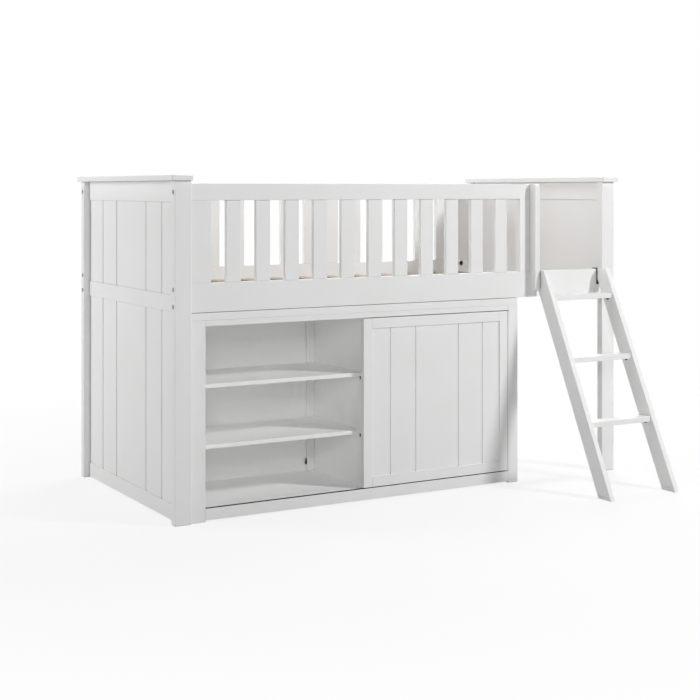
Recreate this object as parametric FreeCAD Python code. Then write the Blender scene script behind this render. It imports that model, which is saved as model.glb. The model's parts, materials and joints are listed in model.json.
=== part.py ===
import FreeCAD, Part
import math
import os

# Low loft bed with a bookcase below it, in millimetres
# X runs along the bed, Y from the front to the rear, Z up from the floor

# Painted boards
edge_round = 1.5
overrun = 2.0
parallel_share = 0.999

# Posts and cap boards
bed_length = 2000.0
bed_width = 1040.0
post_wide = 64.0
post_deep = 33.0
post_high = 1232.0
cap_thick = 20.0
cap_end_overhang = 15.0
cap_side_overhang = 12.0
cap_inner_overhang = 2.0
cap_round = 2.5
post_round = 2.5

# End frames: rails with plank panels held in grooves
end_rail_thick = 18.0
top_rail_high = 76.5
middle_rail_high = 61.0
bottom_rail_high = 56.0
bottom_rail_clear = 4.0
end_panel_thick = 10.0
panel_tongue = 6.0
groove_clear = 0.3
end_vee_wide = 7.5
end_vee_deep = 8.0
end_groove_shares = (1 / 6, 1 / 3, 2 / 3, 5 / 6)
dowel_radius = 4.0
dowel_long = 36.0
dowel_clear = 0.1
dowel_height_shares = (0.27, 0.73)

# Side rails
rail_setback = 5.0
rail_thick = 25.0
side_rail_low = 757.0
side_rail_high = 105.5

# Guards
guard_drop = 10.0
guard_rail_high = 61.0
guard_left_stile_wide = 78.0
guard_right_stile_wide = 51.0
guard_slat_wide = 57.3
guard_slat_thick = 18.0
guard_slat_setback = 4.5
front_slat_count = 11
rear_slat_count = 14
tenon_long = 7.5
tenon_shoulder = 4.0
tenon_clear = 0.2

# Handle board at the end of the front guard
handle_thick = 24.0
handle_proud = 38.0
handle_foot_gap = 30.0
handle_round = 12.0
handle_screw_shares = (0.2, 0.8)

# Frame bolts with half-moon nuts in bores of the rails
bolt_radius = 3.0
bolt_clear = 0.4
bolt_head_radius = 7.0
bolt_head_high = 4.5
bolt_head_sunk = 6.0
bolt_socket_flat = 2.5
bolt_socket_deep = 3.0
counterbore_radius = 9.0
bolt_low_gap = 24.0
bolt_top_gap = 20.5
bolt_tip_past = 5.0
nut_inset = 52.0
nut_bore_radius = 11.5
nut_long = 14.0
nut_clear = 0.3
nut_thread_clear = 0.1

# Bed base: slats on cleats
cleat_wide = 24.0
cleat_high = 24.0
cleat_lift = 5.5
cleat_end_gap = 76.0
bed_slat_wide = 70.0
bed_slat_thick = 18.0
bed_slat_end_gap = 3.0
bed_slat_count = 13
bed_slat_margin = 4.0
cleat_screw_step_count = 2

# Countersunk wood screws
screw_radius = 2.0
screw_head_radius = 4.0
screw_head_high = 2.5
screw_clear = 0.1
slat_screw_long = 34.0
cleat_screw_long = 40.0
handle_screw_long = 55.0
hook_screw_long = 24.0
cabinet_screw_long = 58.0

# Ladder
ladder_wide = 346.0
ladder_side_clear = 3.0
ladder_lean_degrees = 26.5
ladder_stile_wide = 70.0
ladder_stile_thick = 22.0
ladder_top_proud = 5.0
ladder_plumb_cut = 49.5
tread_first_rise = 282.0
tread_rise = 242.0
tread_count = 3
tread_thick = 21.0
tread_deep = 60.0
tread_setback = 6.0
tread_dowel_shares = (0.25, 0.75)
tread_dowel_long = 36.0
tread_dowel_inset = 12.0
peg_radius = 4.5
peg_long = 16.0
peg_inset = 11.0
peg_clear = 0.1
peg_depth_share = 0.45
hook_thick = 4.0
hook_wide = 20.0
hook_inside = 2.0
hook_leg_high = 69.0
hook_lip_high = 28.0
hook_clear = 0.5
hook_bend_round = 5.0
hook_screw_drops = (13.0, 30.0)

# Cabinet
cabinet_setback = 10.0
cabinet_deep = 452.0
cabinet_top_gap = 1.5
cabinet_end_gap = 58.0
cabinet_board = 18.0
cabinet_top_thick = 28.5
left_stile_wide = 58.0
right_stile_wide = 47.0
runner_deep = 32.0
top_runner_high = 21.0
plinth_clear = 6.0
plinth_high = 41.5
divider_thick = 16.0
left_bay_wide = 708.0
back_thick = 5.0
back_inset = 2.0
batten_wide = 35.5
batten_thick = 12.0
cabinet_screw_shares = (0.12, 0.5, 0.88)

# Shelves on angle supports, each with a pin into the board beside it
shelf_thick = 15.0
shelf_setback = 8.0
shelf_end_gap = 1.8
compartment_high = 207.0
shelf_count = 2
pin_radius = 2.5
pin_long = 7.0
pin_clear = 0.1
support_thick = 2.0
support_wide = 6.0
support_high = 13.0
support_reach = 8.0
support_depth_shares = (0.025, 0.9)

# Sliding door and its track
door_setback = 2.5
door_thick = 20.0
door_end_gap = 0.8
door_top_gap = 3.0
door_lap = 12.0
door_floor_gap = 3.3
door_stile_wide = 40.0
door_rail_high = 40.5
door_panel_thick = 8.0
door_panel_recess = 5.0
door_tongue = 8.0
door_vee_wide = 5.0
door_vee_deep = 3.7
door_groove_shares = (0.138, 0.332, 0.668, 0.862)
track_wide = 18.0
track_high = 14.0
track_wall = 1.5
track_base = 2.0
glide_long = 60.0
glide_clear = 0.3
glide_end_gap = 30.0
guide_radius = 4.0
guide_stub = 8.0
guide_root = 16.0
guide_clear = 0.1
guide_slot_wide = 9.0
guide_slot_deep = 11.0

axis_x = FreeCAD.Vector(1, 0, 0)
axis_y = FreeCAD.Vector(0, 1, 0)
axis_z = FreeCAD.Vector(0, 0, 1)

nodes = {}


# Shapes that repeat

def middle(span):
    return (span[0] + span[1]) / 2


def at_share(span, share):
    return span[0] + (span[1] - span[0]) * share


def grown(span, amount):
    return (span[0] - amount, span[1] + amount)


def to_rear(span):
    return (bed_width - span[1], bed_width - span[0])


def centred(place, size):
    return (place - size / 2, place + size / 2)


def block(x, y, z):
    corner = FreeCAD.Vector(x[0], y[0], z[0])
    return Part.makeBox(x[1] - x[0], y[1] - y[0], z[1] - z[0], corner)


def board(x, y, z, radius=edge_round):
    plain = block(x, y, z)
    return plain.makeFillet(radius, plain.Edges)


def rod(radius, start, direction, length):
    return Part.makeCylinder(radius, length, FreeCAD.Vector(*start), direction)


def prism(corners, direction):
    points = [FreeCAD.Vector(*corner) for corner in corners]
    return Part.Face(Part.makePolygon(points + points[:1])).extrude(direction)


def cut_all(shape, tools):
    return shape.cut(tools) if tools else shape


def edges_along(shape, direction):
    straight = [edge for edge in shape.Edges if isinstance(edge.Curve, Part.Line)]
    return [edge for edge in straight
            if abs(edge.tangentAt(edge.FirstParameter).dot(direction)) > parallel_share]


def wood_screw(start, direction, length, clear=0):
    place = FreeCAD.Vector(*start)
    head = Part.makeCone(screw_head_radius + clear, screw_radius + clear, screw_head_high, place, direction)
    shank = Part.makeCylinder(screw_radius + clear, length + clear, place, direction)
    return head.fuse(shank).removeSplitter()


def screw_row(places, direction, length):
    screws = [wood_screw(place, direction, length) for place in places]
    holes = [wood_screw(place, direction, length, screw_clear) for place in places]
    return screws, holes


# Upright with a stub tenon at each end, and the mortise that takes it
def upright(x, y, z):
    tenon = block(grown(x, -tenon_shoulder), grown(y, -tenon_shoulder), grown(z, tenon_long))
    return board(x, y, z).fuse(tenon).removeSplitter()


def mortise(x, y, z):
    room = tenon_clear - tenon_shoulder
    return block(grown(x, room), grown(y, room), grown(z, tenon_long + tenon_clear))


# Vee grooves down the outer face of a plank panel
def vee_across_y(face_x, place_y, z):
    x = grown((face_x, face_x), end_vee_deep)
    y = centred(place_y, end_vee_wide)
    corners = ((x[0], place_y, z[0]), (face_x, y[0], z[0]), (x[1], place_y, z[0]), (face_x, y[1], z[0]))
    return prism(corners, axis_z * (z[1] - z[0]))


def vee_across_x(place_x, face_y, z):
    x = centred(place_x, door_vee_wide)
    y = grown((face_y, face_y), door_vee_deep)
    corners = ((x[0], face_y, z[0]), (place_x, y[0], z[0]), (x[1], face_y, z[0]), (place_x, y[1], z[0]))
    return prism(corners, axis_z * (z[1] - z[0]))


# Main places of the bed frame
bed_x = (-bed_length / 2, bed_length / 2)
post_x = {"left": (bed_x[0], bed_x[0] + post_wide), "right": (bed_x[1] - post_wide, bed_x[1])}
post_y = {"front": (0, post_deep), "rear": to_rear((0, post_deep))}
between_posts_x = (post_x["left"][1], post_x["right"][0])
between_posts_y = (post_y["front"][1], post_y["rear"][0])
rail_y = {"front": (rail_setback, rail_setback + rail_thick)}
rail_y["rear"] = to_rear(rail_y["front"])
side_rail_top = side_rail_low + side_rail_high
side_rail_z = (side_rail_low, side_rail_top)
guard_top = post_high - guard_drop
guard_rail_z = (guard_top - guard_rail_high, guard_top)
guard_gap_z = (side_rail_top, guard_rail_z[0])

# The ladder stands in the opening between the handle board and the right front post
ladder_x = (between_posts_x[1] - ladder_side_clear - ladder_wide, between_posts_x[1] - ladder_side_clear)
handle_x = (ladder_x[0] - ladder_side_clear - handle_thick, ladder_x[0] - ladder_side_clear)
guard_x = {"front": (between_posts_x[0], handle_x[0]), "rear": between_posts_x}

# Heights of the end rails
top_rail_z = (post_high - top_rail_high, post_high)
middle_rail_z = (side_rail_low, side_rail_low + middle_rail_high)
bottom_rail_z = (bottom_rail_clear, bottom_rail_clear + bottom_rail_high)
end_rails = {"left": {"top": top_rail_z, "middle": middle_rail_z, "bottom": bottom_rail_z},
             "right": {"top": top_rail_z, "middle": middle_rail_z}}
upper_panel_z = (middle_rail_z[1] - panel_tongue, top_rail_z[0] + panel_tongue)
lower_panel_z = (bottom_rail_z[1] - panel_tongue, middle_rail_z[0] + panel_tongue)
end_panels = {"left": {"upper": upper_panel_z, "lower": lower_panel_z}, "right": {"upper": upper_panel_z}}
panel_y = grown(between_posts_y, panel_tongue)


# Dowels between end rails and posts
def dowel_places(end):
    x = middle(post_x[end])
    return [(x, y, at_share(z, share)) for z in end_rails[end].values()
            for y in between_posts_y for share in dowel_height_shares]


def dowel_rods(end, clear):
    half = dowel_long / 2 + clear
    return [rod(dowel_radius + clear, (x, y - half, z), axis_y, half + half) for x, y, z in dowel_places(end)]


# Grooves in posts and rails for the panels of one end
def panel_grooves(end):
    x = grown(centred(middle(post_x[end]), end_panel_thick), groove_clear)
    return [block(x, grown(panel_y, groove_clear), grown(z, groove_clear)) for z in end_panels[end].values()]


# Bolts: one pair for each side rail end, one more where a guard meets a post
def bolt_heights(end, side):
    heights = [side_rail_low + bolt_low_gap, side_rail_top - bolt_top_gap]
    if guard_x[side] == between_posts_x or end == "left":
        heights.append(middle(guard_rail_z))
    return heights


def bolt_direction(end):
    return axis_x if end == "left" else axis_x * -1


def bolt_start(end, side, z):
    outer = bed_x[0] if end == "left" else bed_x[1]
    return FreeCAD.Vector(outer, middle(rail_y[side]), z)


bolt_reach = post_wide + nut_inset + bolt_tip_past


def frame_bolt(end, side, z):
    along = bolt_direction(end)
    head_start = bolt_start(end, side, z) + along * bolt_head_sunk
    head = Part.makeCylinder(bolt_head_radius, bolt_head_high, head_start, along)
    socket_round = bolt_socket_flat / math.cos(math.pi / 6)
    turns = [math.pi * step / 3 for step in range(6)]
    socket_corners = [head_start + FreeCAD.Vector(0, math.cos(turn), math.sin(turn)) * socket_round
                      for turn in turns]
    socket = prism(socket_corners, along * bolt_socket_deep)
    shank = Part.makeCylinder(bolt_radius, bolt_reach - bolt_head_sunk, head_start, along)
    return head.fuse(shank).removeSplitter().cut(socket)


def bolt_hole(end, side, z):
    along = bolt_direction(end)
    start = bolt_start(end, side, z)
    sunk = bolt_head_sunk + bolt_head_high
    shank = Part.makeCylinder(bolt_radius + bolt_clear, bolt_reach + bolt_clear, start, along)
    return Part.makeCylinder(counterbore_radius, sunk, start, along).fuse(shank)


def nut_place(end, side, z):
    place = bolt_start(end, side, z) + bolt_direction(end) * (post_wide + nut_inset)
    inward = axis_y if side == "front" else axis_y * -1
    return place, inward


def nut_bore(end, side, z):
    place, inward = nut_place(end, side, z)
    depth = rail_thick / 2 + nut_long / 2 + nut_clear
    return Part.makeCylinder(nut_bore_radius, depth, place - inward * (nut_long / 2 + nut_clear), inward)


def half_moon_nut(end, side, z):
    place, inward = nut_place(end, side, z)
    radius = nut_bore_radius - nut_clear
    whole = Part.makeCylinder(radius, nut_long, place - inward * (nut_long / 2), inward)
    towards_tip = grown((place.x, place.x), radius + overrun)
    kept = (towards_tip[0], place.x) if end == "left" else (place.x, towards_tip[1])
    half = whole.common(block(kept, grown((place.y, place.y), nut_long), grown((z, z), radius + overrun)))
    start = bolt_start(end, side, z)
    thread = Part.makeCylinder(bolt_radius + nut_thread_clear, bolt_reach, start, bolt_direction(end))
    return half.cut(thread)


bolts = [(end, side, z) for side in ("front", "rear") for end in ("left", "right")
         for z in bolt_heights(end, side)]
nodes["frame_bolts"] = [frame_bolt(*bolt) for bolt in bolts]
nodes["half_moon_nuts"] = [half_moon_nut(*bolt) for bolt in bolts]
nodes["end_dowels"] = dowel_rods("left", 0) + dowel_rods("right", 0)


# Posts, end rails, plank panels and caps
for end in ("left", "right"):
    end_cuts = panel_grooves(end) + dowel_rods(end, dowel_clear)
    for side in ("front", "rear"):
        holes = [bolt_hole(*bolt) for bolt in bolts if bolt[:2] == (end, side)]
        post = board(post_x[end], post_y[side], (0, post_high), post_round)
        nodes[end + "_" + side + "_post"] = [cut_all(post, end_cuts + holes)]
    rail_x = centred(middle(post_x[end]), end_rail_thick)
    for level, z in end_rails[end].items():
        nodes[end + "_" + level + "_rail"] = [cut_all(board(rail_x, between_posts_y, z), end_cuts)]
    panel_x = centred(middle(post_x[end]), end_panel_thick)
    outer_face = panel_x[0] if end == "left" else panel_x[1]
    for level, z in end_panels[end].items():
        vees = [vee_across_y(outer_face, at_share(between_posts_y, share), z) for share in end_groove_shares]
        nodes[end + "_" + level + "_panel"] = [block(panel_x, panel_y, z).cut(vees)]
    outward, inward = cap_end_overhang, cap_inner_overhang
    reach = (outward, inward) if end == "left" else (inward, outward)
    cap_x = (post_x[end][0] - reach[0], post_x[end][1] + reach[1])
    cap_y = grown((0, bed_width), cap_side_overhang)
    cap = block(cap_x, cap_y, (post_high, post_high + cap_thick))
    nodes[end + "_cap"] = [cap.makeFillet(cap_round, cap.Edges)]


# Guard stiles and slats between the side rail and the guard's top rail
def guard_stiles(side):
    x = guard_x[side]
    right_wide = guard_right_stile_wide if side == "front" else guard_left_stile_wide
    return [(x[0], x[0] + guard_left_stile_wide), (x[1] - right_wide, x[1])]


def guard_slats(side, count):
    left_stile, right_stile = guard_stiles(side)
    gap = (right_stile[0] - left_stile[1] - count * guard_slat_wide) / (count + 1)
    starts = [left_stile[1] + gap + step * (guard_slat_wide + gap) for step in range(count)]
    return [(start, start + guard_slat_wide) for start in starts]


slat_front = rail_setback + guard_slat_setback
slat_y = {"front": (slat_front, slat_front + guard_slat_thick)}
slat_y["rear"] = to_rear(slat_y["front"])
cleat_z = (side_rail_low + cleat_lift, side_rail_low + cleat_lift + cleat_high)
cleat_x = grown(between_posts_x, -cleat_end_gap)
cleat_y = {"front": (rail_y["front"][1], rail_y["front"][1] + cleat_wide)}
cleat_y["rear"] = to_rear(cleat_y["front"])
bed_slat_z = (cleat_z[1], cleat_z[1] + bed_slat_thick)
bed_slat_y = grown((rail_y["front"][1], rail_y["rear"][0]), -bed_slat_end_gap)
bed_slat_span = grown(cleat_x, -bed_slat_margin)
bed_slat_pitch = (bed_slat_span[1] - bed_slat_span[0] - bed_slat_wide) / (bed_slat_count - 1)
bed_slat_starts = [bed_slat_span[0] + step * bed_slat_pitch for step in range(bed_slat_count)]
slat_screw_places = [(start + bed_slat_wide / 2, middle(cleat_y[side]), bed_slat_z[1])
                     for start in bed_slat_starts for side in ("front", "rear")]
slat_screws, slat_holes = screw_row(slat_screw_places, axis_z * -1, slat_screw_long)
space_middle = (bed_slat_wide + bed_slat_pitch) / 2
cleat_screw_starts = bed_slat_starts[cleat_screw_step_count - 1:-1:cleat_screw_step_count]
nodes["bed_screws"] = slat_screws
nodes["bed_cleats"] = []

handle_z = (side_rail_low + handle_foot_gap, guard_top)
handle_screw_z = [at_share(guard_gap_z, share) for share in handle_screw_shares]
handle_places = [(handle_x[1], middle(rail_y["front"]), z) for z in handle_screw_z]
handle_screws, handle_holes = screw_row(handle_places, axis_x * -1, handle_screw_long)
nodes["bed_screws"] += handle_screws

for side, count in (("front", front_slat_count), ("rear", rear_slat_count)):
    stiles = guard_stiles(side)
    slats = guard_slats(side, count)
    stile_solids = [upright(x, rail_y[side], guard_gap_z) for x in stiles]
    mortises = [mortise(x, rail_y[side], guard_gap_z) for x in stiles]
    mortises += [mortise(x, slat_y[side], guard_gap_z) for x in slats]
    side_bolts = [bolt for bolt in bolts if bolt[1] == side]
    rail_cuts = [bolt_hole(*bolt) for bolt in side_bolts] + [nut_bore(*bolt) for bolt in side_bolts]
    inward = axis_y if side == "front" else axis_y * -1
    cleat_face = cleat_y[side][1] if side == "front" else cleat_y[side][0]
    cleat_places = [(start + space_middle, cleat_face, middle(cleat_z)) for start in cleat_screw_starts]
    cleat_screws, cleat_holes = screw_row(cleat_places, inward * -1, cleat_screw_long)
    side_rail = board(between_posts_x, rail_y[side], side_rail_z)
    guard_rail = board(guard_x[side], rail_y[side], guard_rail_z)
    cleat = block(cleat_x, cleat_y[side], cleat_z)
    nodes[side + "_side_rail"] = [cut_all(side_rail, mortises + rail_cuts + cleat_holes)]
    nodes[side + "_guard_rail"] = [cut_all(guard_rail, mortises + rail_cuts)]
    nodes[side + "_guard_stiles"] = [cut_all(stile, handle_holes) for stile in stile_solids]
    nodes[side + "_guard_slats"] = [upright(x, slat_y[side], guard_gap_z) for x in slats]
    nodes["bed_cleats"].append(cut_all(cleat, slat_holes + cleat_holes))
    nodes["bed_screws"] += cleat_screws

bed_slats = [board((start, start + bed_slat_wide), bed_slat_y, bed_slat_z) for start in bed_slat_starts]
nodes["bed_slats"] = [cut_all(slat, slat_holes) for slat in bed_slats]


# Handle board, notched over the side rail
handle_y = (rail_setback - handle_proud, rail_y["front"][1])
handle = block(handle_x, handle_y, handle_z)
front_edges = [edge for edge in edges_along(handle, axis_x) if edge.CenterOfMass.y < rail_setback]
handle = handle.makeFillet(handle_round, front_edges)
side_edges = [edge for edge in handle.Edges if edge not in edges_along(handle, axis_x)
              and edge.BoundBox.XLength < edge_round]
handle = handle.makeFillet(edge_round, side_edges)
rail_room = block(grown(handle_x, overrun), (rail_setback, handle_y[1] + overrun), (0, side_rail_top))
nodes["guard_handle"] = [cut_all(handle, [rail_room] + handle_holes)]


# Ladder: leaning stiles, level at the floor and plumb against the side rail
lean = math.tan(math.radians(ladder_lean_degrees))
ladder_back_y = rail_setback - hook_clear - hook_thick
ladder_top = side_rail_top + ladder_top_proud
plumb_low = ladder_top - ladder_plumb_cut
foot_back_y = ladder_back_y - plumb_low * lean
foot_front_y = foot_back_y - ladder_stile_wide / math.cos(math.radians(ladder_lean_degrees))
ladder_stile_x = {"left": (ladder_x[0], ladder_x[0] + ladder_stile_thick),
                  "right": (ladder_x[1] - ladder_stile_thick, ladder_x[1])}
tread_x = (ladder_stile_x["left"][1], ladder_stile_x["right"][0])


def ladder_front_y(z):
    return foot_front_y + z * lean


tread_boxes = []
for step in range(tread_count):
    tread_top = tread_first_rise + step * tread_rise
    tread_front = ladder_front_y(tread_top) + tread_setback
    tread_boxes.append(((tread_front, tread_front + tread_deep), (tread_top - tread_thick, tread_top)))

nodes["tread_pegs"] = []
nodes["ladder_dowels"] = []
nodes["ladder_hooks"] = []
nodes["ladder_screws"] = []
tread_holes = []
for end, x in ladder_stile_x.items():
    inward = axis_x if end == "left" else axis_x * -1
    inner_x = x[1] if end == "left" else x[0]
    dowel_x = inner_x - inward.x * tread_dowel_inset
    dowel_starts = [(dowel_x, at_share(y, share), middle(z)) for y, z in tread_boxes
                    for share in tread_dowel_shares]
    nodes["ladder_dowels"] += [rod(dowel_radius, start, inward, tread_dowel_long) for start in dowel_starts]
    holes = [rod(dowel_radius + dowel_clear, start, inward, tread_dowel_long) for start in dowel_starts]
    tread_holes += holes
    pegs = []
    peg_rooms = []
    for y, z in tread_boxes:
        peg_start = FreeCAD.Vector(inner_x, at_share(y, peg_depth_share), z[0] - peg_radius - peg_clear)
        peg_start = peg_start - inward * peg_inset
        pegs.append(Part.makeCylinder(peg_radius, peg_long, peg_start, inward))
        peg_rooms.append(Part.makeCylinder(peg_radius + peg_clear, peg_long, peg_start, inward))
    nodes["tread_pegs"] += pegs

    # Flat steel hook over the side rail, screwed to the plumb face of the stile
    hook_x = centred(inner_x + inward.x * (hook_inside - hook_wide / 2), hook_wide)
    hook_top = side_rail_top + hook_thick
    lip_y = rail_y["front"][1] + hook_clear
    hook_outer = block(hook_x, (ladder_back_y, lip_y + hook_thick), (hook_top - hook_leg_high, hook_top))
    throat = block(grown(hook_x, overrun), (ladder_back_y + hook_thick, lip_y), (0, side_rail_top))
    below_lip = block(grown(hook_x, overrun), (ladder_back_y + hook_thick, lip_y + hook_thick + overrun),
                      (0, hook_top - hook_lip_high))
    hook_bends = [edge for edge in edges_along(hook_outer, axis_x) if edge.CenterOfMass.z > side_rail_top]
    hook = hook_outer.makeFillet(hook_bend_round, hook_bends).cut([throat, below_lip])
    hook_places = [(middle(hook_x), ladder_back_y + hook_thick, ladder_top - drop)
                   for drop in hook_screw_drops]
    hook_screws, hook_holes = screw_row(hook_places, axis_y * -1, hook_screw_long)
    nodes["ladder_hooks"].append(hook.cut(hook_holes))

    stile = prism(((x[0], ladder_front_y(-ladder_stile_wide), -ladder_stile_wide),
                   (x[0], foot_back_y - ladder_stile_wide * lean, -ladder_stile_wide),
                   (x[0], ladder_back_y, plumb_low), (x[0], ladder_back_y, ladder_top),
                   (x[0], ladder_front_y(ladder_top), ladder_top)), axis_x * ladder_stile_thick)
    stile = stile.makeFillet(edge_round, stile.Edges)
    stile = stile.common(block(x, (foot_front_y - overrun, ladder_back_y), (0, ladder_top)))
    nodes["ladder_" + end + "_stile"] = [stile.cut(holes + peg_rooms + hook_holes)]
    nodes["ladder_screws"] += hook_screws

for level, (y, z) in zip(("bottom", "middle", "top"), tread_boxes):
    nodes["ladder_" + level + "_tread"] = [cut_all(board(tread_x, y, z), tread_holes)]


# Main places of the cabinet, which stands against the left front post
cabinet_x = (between_posts_x[0], handle_x[0] - cabinet_end_gap)
cabinet_y = (cabinet_setback, cabinet_setback + cabinet_deep)
cabinet_top = side_rail_low - cabinet_top_gap
carcass_top = cabinet_top - cabinet_top_thick
frame_y = (cabinet_y[0], cabinet_y[0] + cabinet_board)
runner_y = (cabinet_y[0], cabinet_y[0] + runner_deep)
carcass_back = cabinet_y[1] - back_thick - back_inset
opening_x = (cabinet_x[0] + left_stile_wide, cabinet_x[1] - right_stile_wide)
inside_x = grown(cabinet_x, -cabinet_board)
plinth_top = plinth_clear + plinth_high
bottom_z = (plinth_top - cabinet_board, plinth_top)
divider_x = (inside_x[0] + left_bay_wide, inside_x[0] + left_bay_wide + divider_thick)
bays_x = {"left": (inside_x[0], divider_x[0]), "right": (divider_x[1], inside_x[1])}
inside_y = (runner_y[1], carcass_back)
batten_y = (carcass_back - batten_thick, carcass_back)
shelf_y = (runner_y[1] + shelf_setback, batten_y[0] - shelf_end_gap)
shelf_tops = [plinth_top + level * (compartment_high + shelf_thick) for level in range(1, shelf_count + 1)]

# Places of the door, its track in the plinth and its guide slot in the top runner
door_y = (cabinet_y[0] + door_setback, cabinet_y[0] + door_setback + door_thick)
door_x = (divider_x[0] - door_lap, opening_x[1] - door_end_gap)
door_z = (plinth_top + door_floor_gap, carcass_top - top_runner_high - door_top_gap)
track_y = centred(middle(door_y), track_wide)
track_z = (plinth_top - track_high, plinth_top)
slot_y = grown(track_y, -track_wall)
guide_slot_z = (carcass_top - top_runner_high - overrun, carcass_top - top_runner_high + guide_slot_deep)


# Shelves and the supports below their ends
def support_places(bay):
    return [(end, x, at_share(shelf_y, share), top - shelf_thick) for top in shelf_tops
            for end, x in zip(("left", "right"), bays_x[bay]) for share in support_depth_shares]


def support_pin(end, x, y, z, clear):
    outward = axis_x * -1 if end == "left" else axis_x
    return rod(pin_radius + clear, (x, y, z - support_high / 2), outward, pin_long + clear)


def shelf_support(end, x, y, z):
    leg_x, tab_x = ((x, x + support_thick), (x, x + support_reach))
    if end == "right":
        leg_x, tab_x = ((x - support_thick, x), (x - support_reach, x))
    leg = block(leg_x, centred(y, support_wide), (z - support_high, z))
    tab = block(tab_x, centred(y, support_wide), (z - support_thick, z))
    return leg.fuse([tab, support_pin(end, x, y, z, 0)]).removeSplitter()


all_supports = support_places("left") + support_places("right")
pin_holes = [support_pin(*place, pin_clear) for place in all_supports]
nodes["shelf_supports"] = [shelf_support(*place) for place in all_supports]
nodes["cabinet_shelves"] = [board(grown(x, -shelf_end_gap), shelf_y, (top - shelf_thick, top))
                            for x in bays_x.values() for top in shelf_tops]

# Cabinet carcass
side_x = {"left": (cabinet_x[0], inside_x[0]), "right": (inside_x[1], cabinet_x[1])}
carcass_y = (frame_y[1], carcass_back)
top_screw_x = [middle(side_x["left"]), middle(divider_x), middle(side_x["right"])]
top_places = [(x, at_share(carcass_y, share), cabinet_top) for x in top_screw_x
              for share in cabinet_screw_shares]
top_screws, top_holes = screw_row(top_places, axis_z * -1, cabinet_screw_long)
left_places = [(cabinet_x[0], at_share(inside_y, share), middle(bottom_z)) for share in cabinet_screw_shares]
left_screws, left_holes = screw_row(left_places, axis_x, cabinet_screw_long)
right_places = [(cabinet_x[1], y, z) for left_edge, y, z in left_places]
right_screws, right_holes = screw_row(right_places, axis_x * -1, cabinet_screw_long)
cabinet_holes = top_holes + left_holes + right_holes
nodes["cabinet_screws"] = top_screws + left_screws + right_screws

for end, x in side_x.items():
    side_board = board(x, carcass_y, (0, carcass_top))
    nodes["cabinet_" + end + "_side"] = [cut_all(side_board, cabinet_holes + pin_holes)]
stile_x = {"left": (cabinet_x[0], opening_x[0]), "right": (opening_x[1], cabinet_x[1])}
for end, x in stile_x.items():
    nodes["cabinet_" + end + "_stile"] = [board(x, frame_y, (0, carcass_top))]
divider = board(divider_x, inside_y, (plinth_top, carcass_top))
nodes["cabinet_divider"] = [cut_all(divider, top_holes + pin_holes)]
nodes["cabinet_top"] = [cut_all(board(cabinet_x, cabinet_y, (carcass_top, cabinet_top)), top_holes)]
nodes["cabinet_bottom"] = [cut_all(board(inside_x, inside_y, bottom_z), left_holes + right_holes)]
nodes["cabinet_back"] = [block(grown(cabinet_x, -back_inset), (carcass_back, carcass_back + back_thick),
                               (bottom_z[0], carcass_top))]
batten_spans = ((divider_x[0] - batten_wide, divider_x[0]), (divider_x[1], divider_x[1] + batten_wide))
nodes["cabinet_battens"] = [board(x, batten_y, (plinth_top, carcass_top)) for x in batten_spans]

# Runners of the door: plinth with the track, top runner with the guide slot
track_room = block(grown(opening_x, overrun), track_y, (track_z[0], track_z[1] + overrun))
nodes["cabinet_plinth"] = [board(opening_x, runner_y, (plinth_clear, plinth_top)).cut(track_room)]
track_slot = block(grown(opening_x, overrun), slot_y, (track_z[0] + track_base, track_z[1] + overrun))
nodes["door_track"] = [block(opening_x, track_y, track_z).cut(track_slot)]
guide_slot = block(grown(opening_x, overrun), centred(middle(door_y), guide_slot_wide), guide_slot_z)
top_runner = board(opening_x, runner_y, (carcass_top - top_runner_high, carcass_top))
nodes["cabinet_top_runner"] = [top_runner.cut(guide_slot)]


# Sliding door: grooved frame, plank panel, glides in the track, guide pins in the slot
door_stile_x = {"left": (door_x[0], door_x[0] + door_stile_wide),
                "right": (door_x[1] - door_stile_wide, door_x[1])}
door_inside_x = (door_stile_x["left"][1], door_stile_x["right"][0])
door_rail_z = {"bottom": (door_z[0], door_z[0] + door_rail_high),
               "top": (door_z[1] - door_rail_high, door_z[1])}
door_inside_z = (door_rail_z["bottom"][1], door_rail_z["top"][0])
door_panel_y = (door_y[0] + door_panel_recess, door_y[0] + door_panel_recess + door_panel_thick)
door_panel_x = grown(door_inside_x, door_tongue)
door_panel_z = grown(door_inside_z, door_tongue)
groove_y = grown(door_panel_y, groove_clear)
door_groove = block(grown(door_panel_x, groove_clear), groove_y, grown(door_z, overrun))
rail_groove = block(grown(door_panel_x, overrun), groove_y, grown(door_panel_z, groove_clear))
guide_x = [middle(x) for x in door_stile_x.values()]
guide_start_z = door_z[1] - guide_root
guide_starts = [(x, middle(door_y), guide_start_z) for x in guide_x]
guide_holes = [rod(guide_radius + guide_clear, start, axis_z, guide_root + overrun) for start in guide_starts]

for end, x in door_stile_x.items():
    nodes["door_" + end + "_stile"] = [board(x, door_y, door_z).cut([door_groove] + guide_holes)]
for level, z in door_rail_z.items():
    stub = block(door_panel_x, door_panel_y, grown(z, -edge_round))
    shaped = board(door_inside_x, door_y, z).fuse(stub).removeSplitter()
    nodes["door_" + level + "_rail"] = [shaped.cut(rail_groove)]
door_vees = [vee_across_x(at_share(door_inside_x, share), door_panel_y[0], door_panel_z)
             for share in door_groove_shares]
nodes["door_panel"] = [block(door_panel_x, door_panel_y, door_panel_z).cut(door_vees)]
glide_y = grown(slot_y, -glide_clear)
glide_z = (track_z[0] + track_base, door_z[0])
glide_starts = (door_x[0] + glide_end_gap, door_x[1] - glide_end_gap - glide_long)
nodes["door_glides"] = [board((start, start + glide_long), glide_y, glide_z) for start in glide_starts]
guide_long = guide_root + guide_stub
nodes["door_guide_pins"] = [rod(guide_radius, start, axis_z, guide_long) for start in guide_starts]


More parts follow.
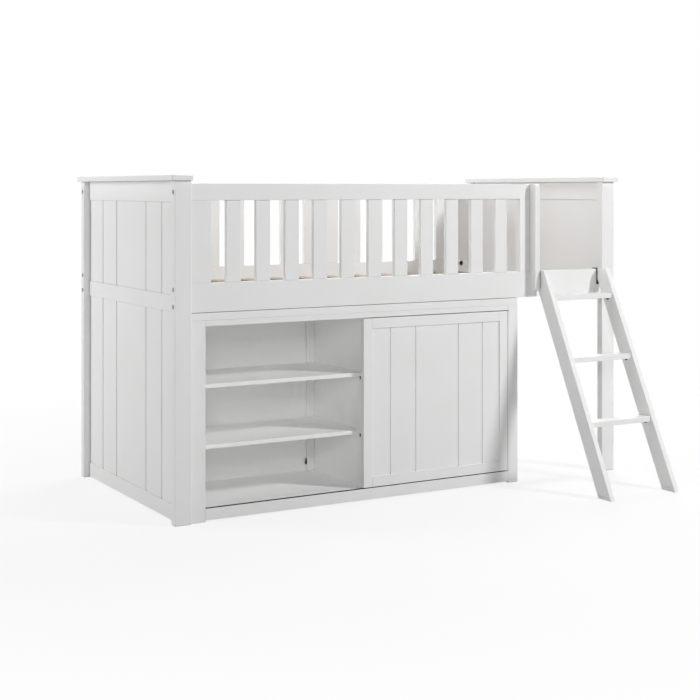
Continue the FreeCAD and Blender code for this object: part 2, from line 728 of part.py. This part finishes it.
# The origin is below the middle of the whole object's box, on the floor
middle_y = (foot_front_y + bed_width + cap_side_overhang) / 2
os.makedirs("parts", exist_ok=True)
for name, solids in nodes.items():
    shape = Part.makeCompound([solid for piece in solids for solid in piece.Solids])
    shape.translate(FreeCAD.Vector(0, -middle_y, 0))
    shape.exportStep("parts/" + name + ".step")
    print(name, len(shape.Solids), shape.isValid(), round(shape.Volume))
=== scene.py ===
import bpy
import bmesh
import json
import math
from mathutils import Matrix, Vector


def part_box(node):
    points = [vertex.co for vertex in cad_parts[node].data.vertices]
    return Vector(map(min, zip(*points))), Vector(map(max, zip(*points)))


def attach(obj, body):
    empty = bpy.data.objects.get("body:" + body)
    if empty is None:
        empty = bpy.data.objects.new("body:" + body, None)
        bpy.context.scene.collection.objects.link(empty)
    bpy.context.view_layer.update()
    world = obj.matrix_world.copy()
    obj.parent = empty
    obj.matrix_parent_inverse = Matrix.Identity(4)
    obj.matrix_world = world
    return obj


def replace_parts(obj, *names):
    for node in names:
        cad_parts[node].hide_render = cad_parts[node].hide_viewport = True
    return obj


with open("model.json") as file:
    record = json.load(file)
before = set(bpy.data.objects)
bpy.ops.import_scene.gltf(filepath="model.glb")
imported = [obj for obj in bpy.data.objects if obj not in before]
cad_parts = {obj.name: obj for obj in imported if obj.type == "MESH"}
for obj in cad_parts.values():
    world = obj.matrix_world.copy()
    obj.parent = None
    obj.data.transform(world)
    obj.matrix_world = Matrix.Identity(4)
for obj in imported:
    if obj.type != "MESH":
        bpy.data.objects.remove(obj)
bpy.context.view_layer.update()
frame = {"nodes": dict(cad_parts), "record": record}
nodeObjects = frame["nodes"]
lengthways, crossways, upright = range(3)  # the bed's own axes
noiseBand = (0.3, 0.7)  # most of a noise texture's values lie between these
print("frame loaded:", len(nodeObjects), "nodes")


# Node helpers for the finishes, the floor and the backdrop
def startMaterial(name):
    material = bpy.data.materials.new(name)
    material.use_nodes = True
    tree = material.node_tree
    tree.nodes.clear()
    output = tree.nodes.new("ShaderNodeOutputMaterial")
    return material, tree, output.inputs["Surface"]


def startFinish(name):
    material, tree, surface = startMaterial(name)
    shader = tree.nodes.new("ShaderNodeBsdfPrincipled")
    tree.links.new(shader.outputs["BSDF"], surface)
    return material, tree, shader


def partCoordinates(tree, grainAxis=lengthways, grainStretch=1.0):
    coordinates = tree.nodes.new("ShaderNodeTexCoord")
    mapping = tree.nodes.new("ShaderNodeMapping")
    stretch = [1.0, 1.0, 1.0]
    stretch[grainAxis] = grainStretch
    mapping.inputs["Scale"].default_value = stretch
    tree.links.new(coordinates.outputs["Object"], mapping.inputs["Vector"])
    return mapping.outputs["Vector"]


def noise(tree, vector, scale, detail=3.0, roughness=0.5, distortion=0.0):
    texture = tree.nodes.new("ShaderNodeTexNoise")
    texture.inputs["Scale"].default_value = scale
    texture.inputs["Detail"].default_value = detail
    texture.inputs["Roughness"].default_value = roughness
    texture.inputs["Distortion"].default_value = distortion
    tree.links.new(vector, texture.inputs["Vector"])
    return texture.outputs["Fac"]


def tones(tree, factor, places, colours):
    node = tree.nodes.new("ShaderNodeValToRGB")
    for element, place, colour in zip(node.color_ramp.elements, places, colours):
        element.position = place
        element.color = (*colour, 1.0)
    tree.links.new(factor, node.inputs["Fac"])
    return node.outputs["Color"]


def remap(tree, value, source, target=(0.0, 1.0), blend="LINEAR"):
    node = tree.nodes.new("ShaderNodeMapRange")
    node.interpolation_type = blend
    node.inputs["From Min"].default_value, node.inputs["From Max"].default_value = source
    node.inputs["To Min"].default_value, node.inputs["To Max"].default_value = target
    tree.links.new(value, node.inputs["Value"])
    return node.outputs["Result"]


def calculate(tree, operation, *values):
    node = tree.nodes.new("ShaderNodeMath")
    node.operation = operation
    for socket, value in zip(node.inputs, values):
        if isinstance(value, float):
            socket.default_value = value
        else:
            tree.links.new(value, socket)
    return node.outputs[0]


# Lays one colour over another: the knots' own colour in the softwood, and painted shade in the crevices of
# the paint
def stainOrShade(tree, stainOrShadeColour, clear, colour):
    mix = tree.nodes.new("ShaderNodeMix")
    mix.data_type = "RGBA"
    mix.inputs["A"].default_value = (*stainOrShadeColour, 1.0)
    tree.links.new(clear, mix.inputs["Factor"])
    tree.links.new(colour, mix.inputs["B"])
    return mix.outputs["Result"]


def mixShaders(tree, share, first, second):
    mix = tree.nodes.new("ShaderNodeMixShader")
    tree.links.new(share, mix.inputs["Fac"])
    tree.links.new(first, mix.inputs[1])
    tree.links.new(second, mix.inputs[2])
    return mix.outputs["Shader"]


def bump(tree, height, distance, under=None):
    node = tree.nodes.new("ShaderNodeBump")
    node.inputs["Strength"].default_value = 1.0
    node.inputs["Distance"].default_value = distance
    tree.links.new(height, node.inputs["Height"])
    if under is not None:
        tree.links.new(under, node.inputs["Normal"])
    return node.outputs["Normal"]


# Painted shade: the paint colour darkens towards a dark grey where ambient occlusion finds grooves, joints
# and gaps close by
creviceShadeLooks = {
    "board": {"colour": (0.34, 0.335, 0.325), "reach": 0.008, "open": 0.5, "shut": 0.2, "samples": 8},
    "plank": {"colour": (0.34, 0.335, 0.325), "reach": 0.012, "open": 0.85, "shut": 0.25, "samples": 12},
}


def paintCreviceShade(tree, colour, look):
    nearness = tree.nodes.new("ShaderNodeAmbientOcclusion")
    nearness.samples = look["samples"]
    nearness.inputs["Distance"].default_value = look["reach"]
    # painted shade, strongest where the occlusion is deepest
    clear = remap(tree, nearness.outputs["AO"], (look["shut"], look["open"]))
    return stainOrShade(tree, look["colour"], clear, colour)


# Satin white paint, brushed along the grain of each board
paintFinish = {
    "colours": ((0.862, 0.862, 0.857), (0.88, 0.88, 0.878)),
    "mottle": {"scale": 5.0},
    "roughness": (0.46, 0.56),
    "sheen": 0.3,
    "strokes": {"scale": 170.0, "detail": 4.0, "roughness": 0.6},
    "strokeStretch": 0.035,
    "strokeDepth": 0.00006,
    "peel": {"scale": 900.0, "detail": 2.0},
    "peelDepth": 0.00003,
}


def brushedPaint(name, grainAxis, look):
    material, tree, shader = startFinish(name)
    along = partCoordinates(tree, grainAxis, paintFinish["strokeStretch"])
    even = partCoordinates(tree)
    strokes = noise(tree, along, **paintFinish["strokes"])
    peel = noise(tree, even, **paintFinish["peel"])
    mottle = noise(tree, even, **paintFinish["mottle"])
    colour = tones(tree, mottle, noiseBand, paintFinish["colours"])
    # the paint colour carries painted shade in its grooves and joints
    tree.links.new(paintCreviceShade(tree, colour, look), shader.inputs["Base Color"])
    shader.inputs["Specular IOR Level"].default_value = paintFinish["sheen"]
    tree.links.new(remap(tree, strokes, noiseBand, paintFinish["roughness"]), shader.inputs["Roughness"])
    brushed = bump(tree, strokes, paintFinish["strokeDepth"])
    tree.links.new(bump(tree, peel, paintFinish["peelDepth"], brushed), shader.inputs["Normal"])
    return material


paints = {axis: brushedPaint("satinWhitePaint" + "XYZ"[axis], axis, creviceShadeLooks["board"])
          for axis in (lengthways, crossways, upright)}
plankPaint = brushedPaint("satinWhitePlanks", upright, creviceShadeLooks["plank"])


def longAxis(node):
    low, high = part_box(node)
    size = high - low
    return max(range(3), key=lambda axis: size[axis])


def dress(node, material):
    for slot in nodeObjects[node].material_slots:
        slot.material = material


recordSlots = {entry["node"]: entry["material_slot"] for entry in frame["record"]["subparts"]}
uprightGroups = ("front_guard_slats", "front_guard_stiles", "rear_guard_slats", "rear_guard_stiles",
                 "door_panel")  # their grain stands, whatever the node's own box
plankPanels = ("left_upper_panel", "left_lower_panel", "right_upper_panel")
for node, slotName in recordSlots.items():
    if node in plankPanels:
        dress(node, plankPaint)
    elif slotName == "white_paint":
        dress(node, paints[upright if node in uprightGroups else longAxis(node)])
print("paint on the boards")


# Unpainted softwood of the slats and cleats: growth rings along the board, a few knots, planed pores
softwood = {
    "ringColours": ((0.42, 0.345, 0.27), (0.32, 0.25, 0.185)),
    "ringPlaces": (0.55, 0.95),
    "rings": 26.0,
    "warp": {"scale": 9.0, "roughness": 0.55, "distortion": 0.6},
    "grainStretch": 0.05,
    "knotColour": (0.17, 0.1, 0.055),
    "knots": 7.0,
    "knotStretch": 0.55,
    "knotReach": (0.05, 0.13),
    "roughness": (0.5, 0.66),
    "pores": {"scale": 700.0, "roughness": 0.6},
    "poreDepth": 0.0001,
}


def clearOfKnots(tree, grainAxis):
    cells = tree.nodes.new("ShaderNodeTexVoronoi")
    cells.inputs["Scale"].default_value = softwood["knots"]
    tree.links.new(partCoordinates(tree, grainAxis, softwood["knotStretch"]), cells.inputs["Vector"])
    return remap(tree, cells.outputs["Distance"], softwood["knotReach"])


def planedSoftwood(name, grainAxis):
    material, tree, shader = startFinish(name)
    along = partCoordinates(tree, grainAxis, softwood["grainStretch"])
    clear = clearOfKnots(tree, grainAxis)
    warp = noise(tree, along, **softwood["warp"])
    bend = calculate(tree, "MULTIPLY_ADD", warp, softwood["rings"], clear)  # rings flow round each knot
    wave = calculate(tree, "FRACT", bend)
    rings = tones(tree, wave, softwood["ringPlaces"], softwood["ringColours"])
    tree.links.new(stainOrShade(tree, softwood["knotColour"], clear, rings), shader.inputs["Base Color"])
    pores = noise(tree, along, **softwood["pores"])
    tree.links.new(remap(tree, pores, noiseBand, softwood["roughness"]), shader.inputs["Roughness"])
    tree.links.new(bump(tree, pores, softwood["poreDepth"]), shader.inputs["Normal"])
    return material


# Metals, plastics and the back board: one small recipe with its own values for each
grainsPerCloud = 12.0
plainFinishes = {
    # The back board's white is partly its own colour and partly painted light: it is paler than the outer
    # paint to brighten the shaded bays
    "back_board": {"colours": ((0.92, 0.92, 0.915), (0.94, 0.94, 0.937)),
                   "roughness": (0.5, 0.62), "metal": 0.0, "grain": 420.0, "depth": 0.00004},
    "beech": {"colours": ((0.55, 0.36, 0.2), (0.66, 0.46, 0.28)),
              "roughness": (0.5, 0.65), "metal": 0.0, "grain": 300.0, "depth": 0.0001},
    "dark_bolt_steel": {"colours": ((0.035, 0.032, 0.03), (0.07, 0.065, 0.06)),
                        "roughness": (0.38, 0.55), "metal": 0.8, "grain": 900.0, "depth": 0.00002},
    "zinc_steel": {"colours": ((0.5, 0.5, 0.48), (0.66, 0.66, 0.63)),
                   "roughness": (0.25, 0.42), "metal": 1.0, "grain": 600.0, "depth": 0.00001},
    "black_steel": {"colours": ((0.012, 0.012, 0.012), (0.022, 0.022, 0.022)),
                    "roughness": (0.42, 0.55), "metal": 0.0, "grain": 1500.0, "depth": 0.00004},
    "black_plastic": {"colours": ((0.015, 0.015, 0.015), (0.025, 0.025, 0.025)),
                      "roughness": (0.5, 0.62), "metal": 0.0, "grain": 1200.0, "depth": 0.00003},
    "white_nylon": {"colours": ((0.76, 0.76, 0.72), (0.82, 0.82, 0.79)),
                    "roughness": (0.4, 0.5), "metal": 0.0, "grain": 800.0, "depth": 0.00002},
}


def plainFinish(name, finish):
    material, tree, shader = startFinish(name)
    even = partCoordinates(tree)
    grain = noise(tree, even, finish["grain"])
    cloud = noise(tree, even, finish["grain"] / grainsPerCloud)
    tree.links.new(tones(tree, cloud, noiseBand, finish["colours"]), shader.inputs["Base Color"])
    shader.inputs["Metallic"].default_value = finish["metal"]
    tree.links.new(remap(tree, grain, noiseBand, finish["roughness"]), shader.inputs["Roughness"])
    tree.links.new(bump(tree, grain, finish["depth"]), shader.inputs["Normal"])
    return material


finishes = {slotName: plainFinish(slotName + "Finish", finish) for slotName, finish in plainFinishes.items()}
finishes["pale_softwood"] = planedSoftwood("planedSlatWood", crossways)
cleatWood = planedSoftwood("planedCleatWood", lengthways)
insideBoardsWithPaintedLight = ("cabinet_shelves", "cabinet_divider", "cabinet_bottom",
                "cabinet_left_side", "cabinet_right_side")
for node, slotName in recordSlots.items():
    if slotName in finishes:
        dress(node, finishes[slotName])
# the boards inside the bookcase take the same paler white: painted light that brightens their shade
for node in insideBoardsWithPaintedLight:
    dress(node, finishes["back_board"])
dress("bed_cleats", cleatWood)
print("finishes:", len([*paints.values(), plankPaint, *finishes.values(), cleatWood]))


# Countersunk wood screws with a cross recess, one where each plain screw of the frame sits
screwHead = {"segments": 24, "armHalf": 0.15, "armReach": 0.6, "recessDeep": 0.45, "recessTaper": 0.55,
             "coneHigh": 0.0025, "tipLong": 0.006, "shankRadius": 0.002, "turnStep": 0.7,
             "weld": 1e-6, "endShare": 0.02}
screwBodies = {"bed_screws": "bed", "cabinet_screws": "bed", "ladder_screws": "ladder"}


def loosePieces(node):
    mesh = bmesh.new()
    mesh.from_mesh(nodeObjects[node].data)
    bmesh.ops.remove_doubles(mesh, verts=mesh.verts, dist=screwHead["weld"])
    seen = set()
    pieces = []
    for first in mesh.verts:
        if first in seen:
            continue
        seen.add(first)
        reached = [first]
        for vert in reached:  # grows while it runs
            for edge in vert.link_edges:
                other = edge.other_vert(vert)
                if other not in seen:
                    seen.add(other)
                    reached.append(other)
        pieces.append([vert.co.copy() for vert in reached])
    mesh.free()
    return pieces


def screwPlace(points):
    low = Vector([min(point[axis] for point in points) for axis in range(3)])
    high = Vector([max(point[axis] for point in points) for axis in range(3)])
    size = high - low
    axis = max(range(3), key=lambda way: size[way])
    middle = (low + high) / 2
    endReach = size[axis] * screwHead["endShare"]

    def girth(end):
        nearEnd = [point - middle for point in points if abs(point[axis] - end) < endReach]
        return max(math.hypot(*(gap[way] for way in range(3) if way != axis)) for gap in nearEnd)

    headLow = girth(low[axis]) > girth(high[axis])
    start = middle.copy()
    start[axis] = low[axis] if headLow else high[axis]
    inward = Vector((0, 0, 0))
    inward[axis] = 1 if headLow else -1
    return start, inward, size[axis], girth(start[axis])


def ringOf(mesh, radius, height, segments):
    turns = [2 * math.pi * step / segments for step in range(segments)]
    return [mesh.verts.new((radius * math.cos(turn), radius * math.sin(turn), height)) for turn in turns]


def stepsRound(loop):
    return zip(loop, loop[1:] + loop[:1])


def bridge(mesh, upper, lower, smooth):
    for (upperOne, upperTwo), (lowerOne, lowerTwo) in zip(stepsRound(upper), stepsRound(lower)):
        mesh.faces.new((upperOne, upperTwo, lowerTwo, lowerOne)).smooth = smooth


def closeAt(mesh, ring, point):
    for one, two in stepsRound(ring):
        mesh.faces.new((one, two, point)).smooth = True


def loopEdges(mesh, loop):
    return [mesh.edges.new(pair) for pair in stepsRound(loop)]


def aimed(start, inward):
    return Matrix.Translation(start) @ inward.to_track_quat("-Z", "Y").to_matrix().to_4x4()


def addScrew(mesh, start, inward, length, headRadius, turn):
    arm = screwHead["armHalf"] * headRadius
    reach = screwHead["armReach"] * headRadius
    quarter = ((arm, reach), (-arm, reach), (-arm, arm))  # one arm of the cross, turned four times
    cross = []
    for corner in range(4):
        spin = Matrix.Rotation(corner * math.pi / 2, 2)
        cross += [spin @ Vector(point) for point in quarter]
    rim = ringOf(mesh, headRadius, 0, screwHead["segments"])
    recessTop = [mesh.verts.new((*point, 0)) for point in cross]
    taper = screwHead["recessTaper"]
    recessDeep = screwHead["recessDeep"] * headRadius
    recessLow = [mesh.verts.new((*(point * taper), -recessDeep)) for point in cross]
    edges = loopEdges(mesh, rim) + loopEdges(mesh, recessTop)
    bmesh.ops.triangle_fill(mesh, use_beauty=True, edges=edges, normal=(0, 0, 1))
    bridge(mesh, recessTop, recessLow, False)
    mesh.faces.new(recessLow)
    neck = ringOf(mesh, screwHead["shankRadius"], -screwHead["coneHigh"], screwHead["segments"])
    shoulder = ringOf(mesh, screwHead["shankRadius"], screwHead["tipLong"] - length, screwHead["segments"])
    bridge(mesh, rim, neck, True)
    bridge(mesh, neck, shoulder, True)
    tip = mesh.verts.new((0, 0, -length))
    closeAt(mesh, shoulder, tip)
    fresh = rim + recessTop + recessLow + neck + shoulder + [tip]
    place = aimed(start, inward) @ Matrix.Rotation(turn, 4, "Z")
    bmesh.ops.transform(mesh, matrix=place, verts=fresh)


def keepPiece(name, mesh, slotName, body):
    bmesh.ops.recalc_face_normals(mesh, faces=mesh.faces)
    data = bpy.data.meshes.new(name)
    mesh.to_mesh(data)
    mesh.free()
    data.materials.append(finishes[slotName])
    piece = bpy.data.objects.new(name, data)
    bpy.context.scene.collection.objects.link(piece)
    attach(piece, body)
    return piece


for node, body in screwBodies.items():
    screws = bmesh.new()
    places = [screwPlace(points) for points in loosePieces(node)]
    for index, place in enumerate(places):
        addScrew(screws, *place, index * screwHead["turnStep"])
    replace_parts(keepPiece("cross_" + node, screws, recordSlots[node], body), node)
    print(node + ":", len(places))


# Round-headed panel pins that hold the back board to the sides, bottom and divider
panelPin = {"headRadius": 0.003, "domeHigh": 0.0012, "shankRadius": 0.0009, "long": 0.014, "tipLong": 0.003,
            "pitch": 0.1, "topGap": 0.025, "rings": 4, "segments": 16}


def addPin(mesh, start, inward):
    rings = []
    for level in range(panelPin["rings"]):
        turn = math.pi / 2 * level / panelPin["rings"]
        radius, height = panelPin["headRadius"] * math.cos(turn), panelPin["domeHigh"] * math.sin(turn)
        rings.append(ringOf(mesh, radius, height, panelPin["segments"]))
    top = mesh.verts.new((0, 0, panelPin["domeHigh"]))
    for lower, upper in zip(rings, rings[1:]):
        bridge(mesh, upper, lower, True)
    closeAt(mesh, rings[-1], top)
    collar = ringOf(mesh, panelPin["shankRadius"], 0, panelPin["segments"])
    footHeight = panelPin["tipLong"] - panelPin["long"]
    foot = ringOf(mesh, panelPin["shankRadius"], footHeight, panelPin["segments"])
    bridge(mesh, rings[0], collar, False)
    bridge(mesh, collar, foot, True)
    tip = mesh.verts.new((0, 0, -panelPin["long"]))
    closeAt(mesh, foot, tip)
    fresh = [vert for ring in rings for vert in ring] + collar + foot + [top, tip]
    bmesh.ops.transform(mesh, matrix=aimed(start, inward), verts=fresh)


def evenPlaces(low, high, pitch):
    steps = max(1, round((high - low) / pitch))
    return [low + (high - low) * step / steps for step in range(steps + 1)]


def middleOf(node, axis):
    low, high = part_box(node)
    return (low[axis] + high[axis]) / 2


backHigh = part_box("cabinet_back")[1]
pinRowZ = middleOf("cabinet_bottom", upright)
pinnedUprights = ("cabinet_left_side", "cabinet_divider", "cabinet_right_side")
pinColumnsX = [middleOf(node, lengthways) for node in pinnedUprights]
pinRowsZ = evenPlaces(pinRowZ, backHigh.z - panelPin["topGap"], panelPin["pitch"])
pinSpots = [(x, z) for x in pinColumnsX for z in pinRowsZ]
for leftX, rightX in zip(pinColumnsX, pinColumnsX[1:]):
    pinSpots += [(x, pinRowZ) for x in evenPlaces(leftX, rightX, panelPin["pitch"])[1:-1]]
pins = bmesh.new()
for x, z in pinSpots:
    addPin(pins, Vector((x, backHigh.y, z)), Vector((0, -1, 0)))
keepPiece("back_board_pins", pins, "zinc_steel", "bed")
print("back board pins:", len(pinSpots))


# Tapered wedge that presses the back board against the batten, near the floor of the open bay
backWedge = {"lift": 0.0255, "high": 0.025, "insert": 0.0006, "corner": 0.3, "wide": 0.0062, "deep": 0.0105,
             "levels": ((0.0, 0.55, 0.7), (0.08, 0.9, 0.92), (0.2, 1.0, 1.0),
                        (0.55, 0.72, 1.0), (0.92, 0.36, 0.8), (1.0, 0.2, 0.6))}  # height, width, depth shares


def addWedge(mesh, corner, foot):
    rings = []
    for level, wideShare, deepShare in backWedge["levels"]:
        wide, deep = backWedge["wide"] * wideShare, backWedge["deep"] * deepShare
        cut = min(wide, deep) * backWedge["corner"]
        outline = ((0, 0), (0, -deep), (cut - wide, -deep), (-wide, cut - deep), (-wide, 0))
        z = foot + level * backWedge["high"]
        rings.append([mesh.verts.new((corner.x + x, corner.y + y, z)) for x, y in outline])
    for lower, upper in zip(rings, rings[1:]):
        bridge(mesh, upper, lower, False)
    mesh.faces.new(rings[0])
    mesh.faces.new(rings[-1])


battenLow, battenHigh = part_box("cabinet_battens")
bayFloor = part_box("cabinet_bottom")[1].z
wedge = bmesh.new()
addWedge(wedge, Vector((battenLow.x + backWedge["insert"], battenHigh.y, 0)), bayFloor + backWedge["lift"])
keepPiece("back_wedge", wedge, "black_plastic", "bed")
print("back wedge set")


# Pale floor that keeps the shadow, and a white backdrop
floorLook = {"size": 40.0, "colour": (0.9, 0.9, 0.9), "bounceColour": (0.6, 0.6, 0.6), "shadowShare": 0.22,
             "shadowReach": (1.2, 3.2)}
backdrop = {"white": (1.0, 1.0, 1.0, 1.0), "ambient": 0.02, "seen": 1.0}


def seenDirectly(tree):
    path = tree.nodes.new("ShaderNodeLightPath")
    total = path.outputs["Is Camera Ray"]
    for ray in ("Is Glossy Ray", "Is Transmission Ray"):  # metal shows the same white
        total = calculate(tree, "MAXIMUM", total, path.outputs[ray])
    return total


def whiteShare(tree):
    coordinates = tree.nodes.new("ShaderNodeTexCoord")
    reach = tree.nodes.new("ShaderNodeVectorMath")
    reach.operation = "LENGTH"
    tree.links.new(coordinates.outputs["Object"], reach.inputs[0])
    nearShare = 1.0 - floorLook["shadowShare"]
    return remap(tree, reach.outputs["Value"], floorLook["shadowReach"], (nearShare, 1.0), "SMOOTHSTEP")


def makeFloor():
    mesh = bpy.data.meshes.new("studioFloor")
    half = floorLook["size"] / 2
    corners = [(-half, -half, 0), (half, -half, 0), (half, half, 0), (-half, half, 0)]
    mesh.from_pydata(corners, [], [(0, 1, 2, 3)])
    floor = bpy.data.objects.new("studioFloor", mesh)
    bpy.context.scene.collection.objects.link(floor)
    material, tree, surface = startMaterial("paleFloor")
    matt = tree.nodes.new("ShaderNodeBsdfDiffuse")
    seen = seenDirectly(tree)
    tint = tree.nodes.new("ShaderNodeMix")  # duller for the light it throws up under the bed
    tint.data_type = "RGBA"
    tint.inputs["A"].default_value = (*floorLook["bounceColour"], 1.0)
    tint.inputs["B"].default_value = (*floorLook["colour"], 1.0)
    tree.links.new(seen, tint.inputs["Factor"])
    tree.links.new(tint.outputs["Result"], matt.inputs["Color"])
    white = tree.nodes.new("ShaderNodeEmission")
    white.inputs["Color"].default_value = backdrop["white"]
    share = calculate(tree, "MULTIPLY", seen, whiteShare(tree))
    tree.links.new(mixShaders(tree, share, matt.outputs["BSDF"], white.outputs["Emission"]), surface)
    mesh.materials.append(material)


def backdropLight(tree, strength):
    light = tree.nodes.new("ShaderNodeBackground")
    light.inputs["Color"].default_value = backdrop["white"]
    light.inputs["Strength"].default_value = strength
    return light.outputs["Background"]


def makeBackdrop():
    world = bpy.data.worlds.new("whiteBackdrop")
    bpy.context.scene.world = world
    world.use_nodes = True
    tree = world.node_tree
    tree.nodes.clear()
    output = tree.nodes.new("ShaderNodeOutputWorld")
    ambient, seen = backdropLight(tree, backdrop["ambient"]), backdropLight(tree, backdrop["seen"])
    tree.links.new(mixShaders(tree, seenDirectly(tree), ambient, seen), output.inputs["Surface"])


makeFloor()
makeBackdrop()
print("floor and backdrop set")


# Soft studio lamps, each aimed at a point of the bed
lamps = {
    "keyRightFront": {"place": (2.8, -3.75, 3.36), "aim": (0.2, 0.0, 0.7), "size": 0.7, "power": 150.0},
    "fillFront": {"place": (-2.9, -5.2, 1.6), "aim": (-0.3, 0.0, 0.6), "size": 1.5, "power": 30.0},
    "fillAbove": {"place": (-2.9, -5.2, 2.4), "aim": (-0.3, 0.0, 0.6), "size": 1.0, "power": 48.0},
    "fillLeftRear": {"place": (-4.4, 2.6, 1.8), "aim": (-1.0, 0.3, 0.6), "size": 2.0, "power": 113.0},
    "fillRightRear": {"place": (3.6, 4.6, 2.6), "aim": (0.2, 0.3, 0.6), "size": 2.5, "power": 140.0},
    "overRight": {"place": (2.4, 1.6, 3.6), "aim": (0.6, 0.1, 0.9), "size": 1.5, "power": 66.0},
    "overBed": {"place": (-0.7, 0.2, 3.4), "aim": (0.8, 0.2, 0.9), "size": 1.5, "power": 34.0},
}
lightBounces = {"all": 16, "diffuse": 12}  # white boards pass light on many times inside the bookcase


def makeLamp(name, lamp):
    data = bpy.data.lights.new(name, "AREA")
    data.shape = "SQUARE"
    data.size = lamp["size"]
    data.energy = lamp["power"]
    lampObject = bpy.data.objects.new(name, data)
    lampObject.location = lamp["place"]
    direction = Vector(lamp["aim"]) - Vector(lamp["place"])
    lampObject.rotation_euler = direction.to_track_quat("-Z", "Y").to_euler()
    lampObject.visible_camera = False  # only its light shows
    bpy.context.scene.collection.objects.link(lampObject)


for lampName, lamp in lamps.items():
    makeLamp(lampName, lamp)
bpy.context.scene.cycles.max_bounces = lightBounces["all"]
bpy.context.scene.cycles.diffuse_bounces = lightBounces["diffuse"]
print("lamps:", len(lamps))


# Level camera at the photograph's place, framed by its shift
camera = {"place": (-2.896, -5.0142, 1.203), "tilt": 90.0, "turn": -31.01, "lens": 72.76, "sensor": 36.0,
          "shift": (-0.0761, -0.2304)}


def makeCamera():
    data = bpy.data.cameras.new("productCamera")
    data.sensor_fit = "HORIZONTAL"
    data.sensor_width = camera["sensor"]
    data.lens = camera["lens"]
    data.shift_x, data.shift_y = camera["shift"]
    data.dof.use_dof = False
    cameraObject = bpy.data.objects.new("productCamera", data)
    cameraObject.location = camera["place"]
    cameraObject.rotation_euler = (math.radians(camera["tilt"]), 0, math.radians(camera["turn"]))
    bpy.context.scene.collection.objects.link(cameraObject)
    bpy.context.scene.camera = cameraObject


makeCamera()
bpy.context.scene.view_settings.view_transform = "Standard"
print("camera set")
